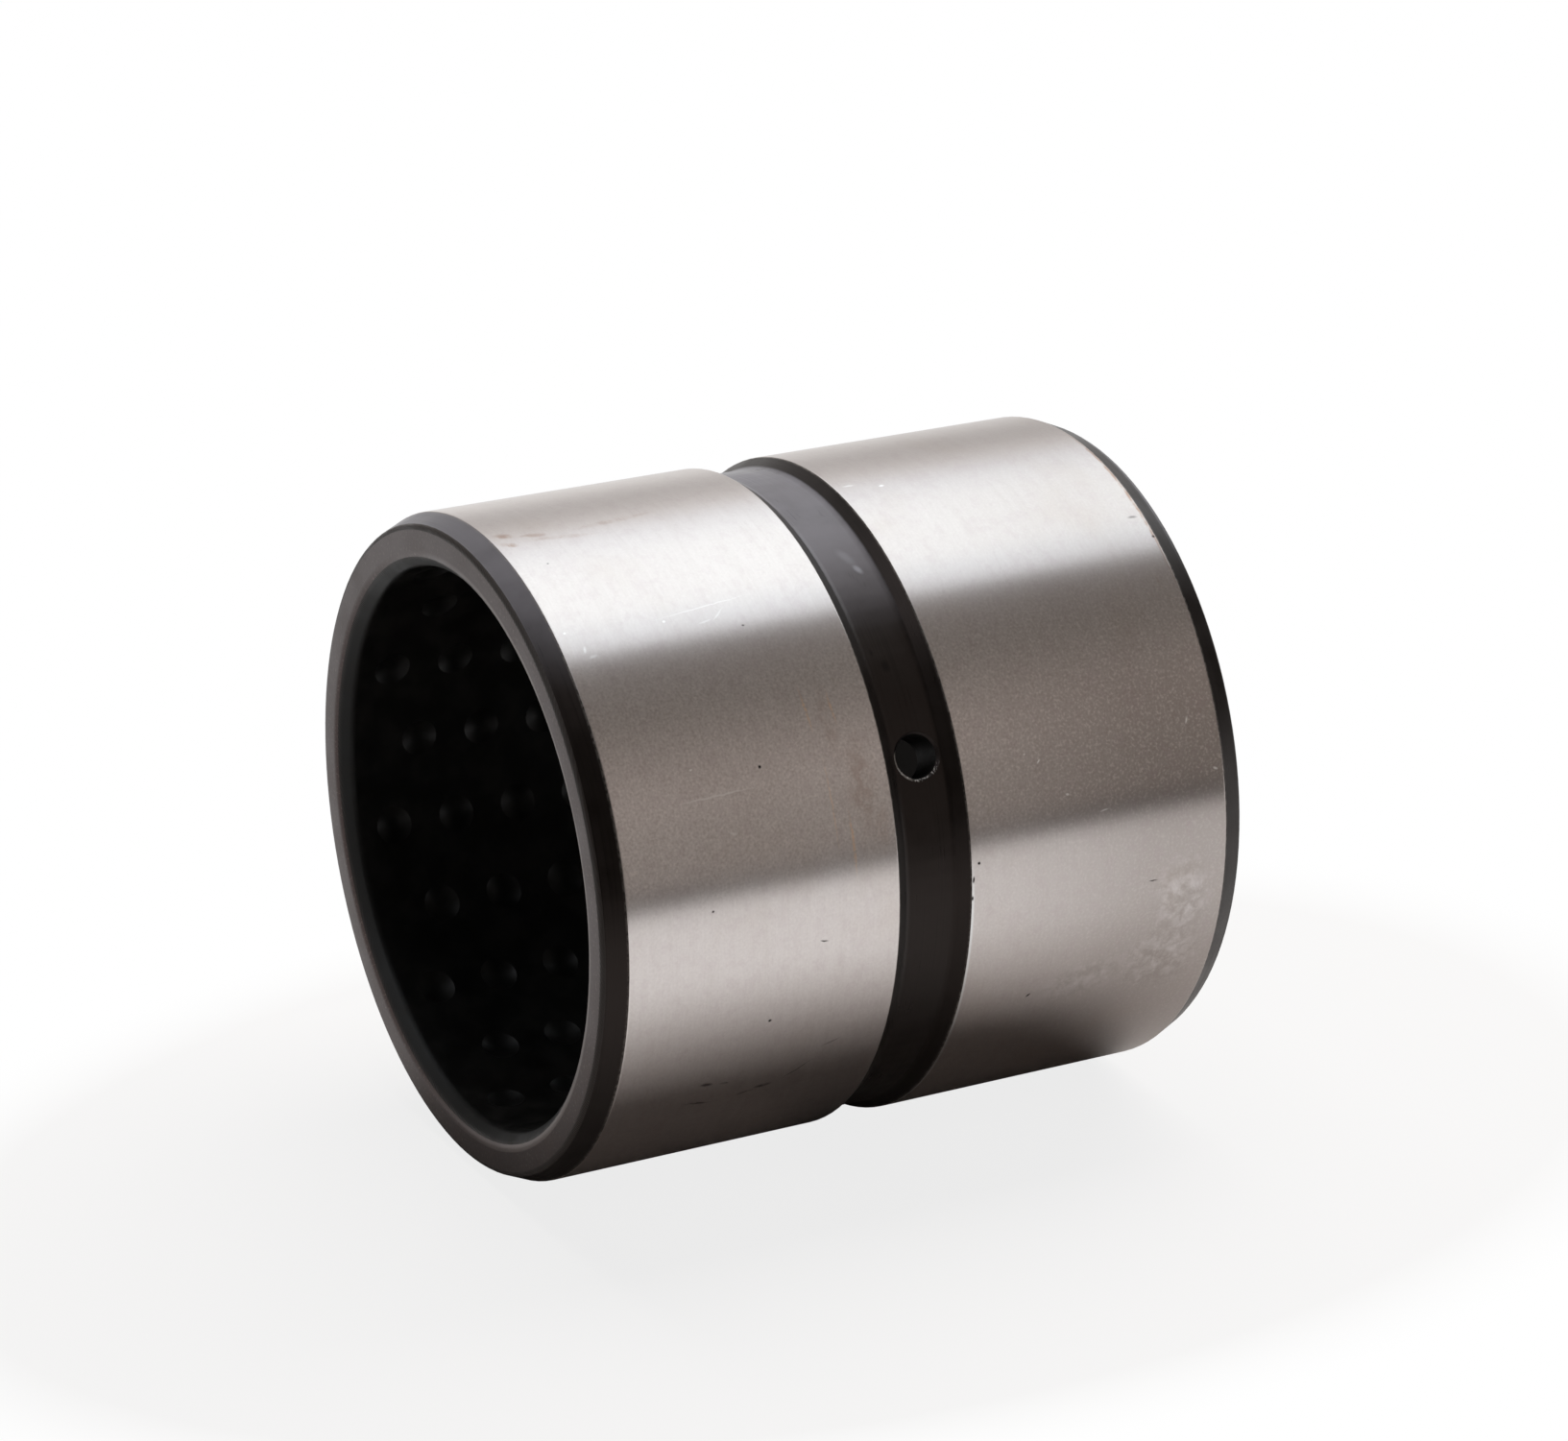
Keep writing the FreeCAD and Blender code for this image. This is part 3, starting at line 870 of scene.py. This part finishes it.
def make_table(finish):
    """White table: plain white paper that keeps the sleeve's shadow, and clears to the photo's
    white further out."""
    deselect_objects()
    bpy.ops.mesh.primitive_plane_add(size=TABLE_SIZE, location=(0, 0, FLOOR_HEIGHT))
    table = active_mesh("table")
    settle(table)
    material = new_material("white_table")
    place = add_node(material, "ShaderNodeTexCoord").outputs["Object"]
    from_shadow = add_node(material, "ShaderNodeMapping",
                           {"Vector": place, "Location": SHADOW_MIDDLE, "Scale": SHADOW_REACH},
                           vector_type="TEXTURE").outputs[0]
    reach = add_node(material, "ShaderNodeVectorMath", {0: from_shadow},
                     operation="LENGTH").outputs["Value"]
    camera, seen = seen_directly(material)
    cleared = add_node(material, "ShaderNodeMath",
                       {0: amount(material, (reach, SHADOW_CORE, 1.0)),
                        1: amount(material, camera, SHADOW_VEIL)},
                       operation="MAXIMUM").outputs[0]
    lift = amount(material, seen, cleared)
    paper = add_node(material, "ShaderNodeBsdfDiffuse", {"Color": (*finish.table, 1)})
    white = add_node(material, "ShaderNodeEmission", {"Strength": 1.0})
    mix = add_node(material, "ShaderNodeMixShader",
                   {0: lift, 1: paper.outputs[0], 2: white.outputs[0]})
    add_node(material, "ShaderNodeOutputMaterial", {"Surface": mix.outputs[0]})
    table.data.materials.append(material)


WORLD_LIGHT = 0.04


def make_world(scene):
    """A white room: strength 1 where it is seen, and a plain fill elsewhere."""
    world = bpy.data.worlds.new("studio")
    world.use_nodes = True
    world.node_tree.nodes.clear()
    _, seen = seen_directly(world)
    strength = amount(world, (seen, 0.0, 1.0, WORLD_LIGHT, 1.0))
    background = add_node(world, "ShaderNodeBackground",
                          {"Color": (1, 1, 1, 1), "Strength": strength})
    add_node(world, "ShaderNodeOutputWorld", {"Surface": background.outputs[0]})
    scene.world = world


# The soft box and the tent stand round the bore axis at this distance.  Their angles are in
# degrees above the +X side, so 90 is straight above and 180 the -X side.  The box's middle is
# this far along the bore axis.
TENT_RADIUS = 0.84
TENT_LENGTH = 3.2
TENT_SIDES = 128
BOX_LOW = 82
BOX_HIGH = 137
BOX_LENGTH = 1.4
BOX_MIDDLE = 0.5
BOX_POWER = 14.0
# Brightness of the tent by its angle, as a share of TENT_LIGHT: the table's far edge, a dim
# room, the soft box with its soft upper side, and the pale wall behind it.
TENT_LIGHT = 1.75
REAR_TENT = (
    (-8, "#6d6764"), (1, "#746f6b"), (3, "#807b77"), (17, "#837e7a"), (27, "#8a8480"),
    (37, "#827c78"), (47, "#75706c"), (57, "#686460"), (78, "#64605d"), (80.6, "#6a6461"),
    (82.8, "#dadfe5"), (89, "#e4edf3"), (96, "#f5fcff"), (121, "#f5fcff"), (130, "#eaf1f6"),
    (137, "#d9dde2"), (142, "#c7c6c4"), (147, "#b7b6b5"), (152, "#aaa8a7"), (158, "#a3a2a1"),
    (164, "#aaa8a7"), (170, "#b9b8b7"), (180, "#c7c6c4"), (190, "#c7c6c4"))
FRONT_TENT = (
    (-8, "#2f2c2b"), (40, "#34312f"), (70, "#3c3937"), (79, "#44403e"), (84, "#eef2f7"),
    (121, "#f4f8fd"), (137, "#d8dce0"), (149, "#929190"), (158, "#737271"), (172, "#7c7b7a"),
    (180, "#9e9d9c"), (190, "#b4b3b2"))
# The soft box stands askew: its edge turns by this angle for each metre from this point on.
BOX_SKEW = 0.2
SKEW_FROM = 0.42
# Along the bore axis: where the tent changes from its front to its rear half, and the dark
# opening between them.
TENT_JOIN = (-0.16, 0.0)
OPENING_FRONT = (-0.42, -0.32)
OPENING_REAR = (-0.22, -0.08)
OPENING_TONE = 0.12
# The table's dark edge board, which draws the horizon in the steel.
BOARD_X = 0.39
BOARD_TOP = -0.007
BOARD_TONE = "#494340"
WALL_TONE = "#2b2725"


def make_soft_box():
    """The one big lamp, above the sleeve.  The tent shows its reflection."""
    middle = math.radians((BOX_LOW + BOX_HIGH) / 2)
    half = math.radians((BOX_HIGH - BOX_LOW) / 2)
    bpy.ops.object.light_add(
        type="AREA",
        location=(TENT_RADIUS * math.cos(middle), BOX_MIDDLE, TENT_RADIUS * math.sin(middle)),
        rotation=(0, math.pi / 2 - middle, 0))
    lamp = bpy.context.active_object
    lamp.name = "soft_box"
    lamp.data.shape = "RECTANGLE"
    lamp.data.size = 2 * TENT_RADIUS * math.tan(half)
    lamp.data.size_y = BOX_LENGTH
    lamp.data.energy = BOX_POWER
    lamp.visible_camera = False
    lamp.visible_glossy = False


def tent_tones(material, angle, tones):
    """One half of the tent, as a colour for each angle.  The angle counts from straight above
    towards +X, and the table of tones from +X upwards."""
    low, high = tones[0][0], tones[-1][0]
    share = add_node(material, "ShaderNodeMapRange",
                     {"Value": angle, "From Min": math.radians(90 - low),
                      "From Max": math.radians(90 - high)}).outputs[0]
    ramp = add_node(material, "ShaderNodeValToRGB", {"Fac": share})
    stops = ramp.color_ramp.elements
    while len(stops) < len(tones):
        stops.new(1.0)
    for stop, (degrees, tone) in zip(stops, tones):
        stop.position = (degrees - low) / (high - low)
        stop.color = (*linear(tone), 1)
    return ramp.outputs["Color"]


def show_in_reflections_only(card):
    """Hides a card of the stage from everything but reflections."""
    card.visible_camera = False
    card.visible_diffuse = False
    card.visible_transmission = False
    card.visible_shadow = False


def make_tent():
    """A tube round the stage that only reflections show: the studio as the steel mirrors it."""
    deselect_objects()
    bpy.ops.mesh.primitive_cylinder_add(vertices=TENT_SIDES, radius=TENT_RADIUS,
                                        depth=TENT_LENGTH, end_fill_type="NOTHING",
                                        rotation=(math.pi / 2, 0, 0))
    tent = active_mesh("tent")
    settle(tent)
    material = new_material("tent_cloth")
    place = add_node(material, "ShaderNodeTexCoord").outputs["Object"]
    parts = add_node(material, "ShaderNodeSeparateXYZ", {0: place}).outputs
    turn = add_node(material, "ShaderNodeMath", {0: parts["X"], 1: parts["Z"]},
                    operation="ARCTAN2").outputs[0]
    from_top = sum_of(material, [turn], [parts["Y"], BOX_SKEW], [-BOX_SKEW * SKEW_FROM])
    tone = painted(
        material, tent_tones(material, from_top, FRONT_TENT),
        (tent_tones(material, from_top, REAR_TENT), (parts["Y"], *TENT_JOIN)))
    lit = add_node(material, "ShaderNodeMath",
                   {0: amount(material, (parts["Y"], *OPENING_FRONT, 1.0, OPENING_TONE)),
                    1: amount(material, (parts["Y"], *OPENING_REAR, OPENING_TONE, 1.0))},
                   operation="MAXIMUM").outputs[0]
    strength = amount(material, lit, TENT_LIGHT)
    glow = add_node(material, "ShaderNodeEmission", {"Color": tone, "Strength": strength})
    add_node(material, "ShaderNodeOutputMaterial", {"Surface": glow.outputs[0]})
    tent.data.materials.append(material)
    show_in_reflections_only(tent)


def finish_card(card, tone):
    """Gives a card for reflections one plain tone."""
    settle(card)
    material = new_material(card.name)
    glow = add_node(material, "ShaderNodeEmission", {"Color": (*linear(tone), 1)})
    add_node(material, "ShaderNodeOutputMaterial", {"Surface": glow.outputs[0]})
    card.data.materials.append(material)
    show_in_reflections_only(card)


def make_edge_board():
    """The dark board along the table's far edge."""
    deselect_objects()
    bpy.ops.mesh.primitive_plane_add(size=1, location=(BOARD_X, 0, 0),
                                     rotation=(0, -math.pi / 2, 0))
    board = active_mesh("edge_board")
    board.dimensions = (BOARD_TOP - FLOOR_HEIGHT, TENT_LENGTH, 0)
    board.location.z = (BOARD_TOP + FLOOR_HEIGHT) / 2
    finish_card(board, BOARD_TONE)


def make_end_wall():
    """The dark curtain that closes the tent behind the sleeve's far end."""
    deselect_objects()
    bpy.ops.mesh.primitive_circle_add(vertices=TENT_SIDES, radius=TENT_RADIUS,
                                      fill_type="NGON", location=(0, TENT_LENGTH / 2, 0),
                                      rotation=(math.pi / 2, 0, 0))
    finish_card(active_mesh("end_wall"), WALL_TONE)


# ---------------------------------------------------------------- operators


class BUSHING_OT_sleeve(bpy.types.Operator):
    """Models the sleeve and gives it its finishes"""

    bl_idname = "bushing.sleeve"
    bl_label = "Sleeve"

    def execute(self, context):
        scene = context.scene
        sleeve = model_sleeve(scene.bushing_sizes)
        dress_sleeve(sleeve, scene.bushing_finish, scene.bushing_sizes)
        choose(sleeve)
        bpy.ops.object.shade_smooth_by_angle(angle=SHARP_ANGLE)
        finish_with(sleeve, "WEIGHTED_NORMAL", keep_sharp=True)
        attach(sleeve, "root")
        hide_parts(NODE)
        return {"FINISHED"}


class BUSHING_OT_stage(bpy.types.Operator):
    """Sets up the table, the lights and the camera"""

    bl_idname = "bushing.stage"
    bl_label = "Stage"

    def execute(self, context):
        scene = context.scene
        make_table(scene.bushing_finish)
        make_world(scene)
        make_soft_box()
        make_tent()
        make_edge_board()
        make_end_wall()
        make_camera(scene)
        scene.view_settings.view_transform = "Standard"
        return {"FINISHED"}


class BUSHING_PT_panel(bpy.types.Panel):
    """Lists the sizes, the finishes and the operators in the sidebar"""

    bl_idname = "BUSHING_PT_panel"
    bl_label = "Sleeve bushing"
    bl_space_type = "VIEW_3D"
    bl_region_type = "UI"
    bl_category = "Bushing"

    def draw(self, context):
        for group in (context.scene.bushing_sizes, context.scene.bushing_finish):
            for name in group.__annotations__:
                self.layout.prop(group, name)
        for operator in (BUSHING_OT_sleeve, BUSHING_OT_stage):
            self.layout.operator(operator.bl_idname)


CLASSES = (BushingSizes, BushingFinish, BUSHING_OT_sleeve, BUSHING_OT_stage, BUSHING_PT_panel)


def register():
    for item in CLASSES:
        bpy.utils.register_class(item)
    bpy.types.Scene.bushing_sizes = PointerProperty(type=BushingSizes)
    bpy.types.Scene.bushing_finish = PointerProperty(type=BushingFinish)


def unregister():
    del bpy.types.Scene.bushing_finish
    del bpy.types.Scene.bushing_sizes
    for item in reversed(CLASSES):
        bpy.utils.unregister_class(item)


def main():
    register()
    bpy.ops.bushing.sleeve()
    bpy.ops.bushing.stage()


if __name__ == "__main__":
    main()
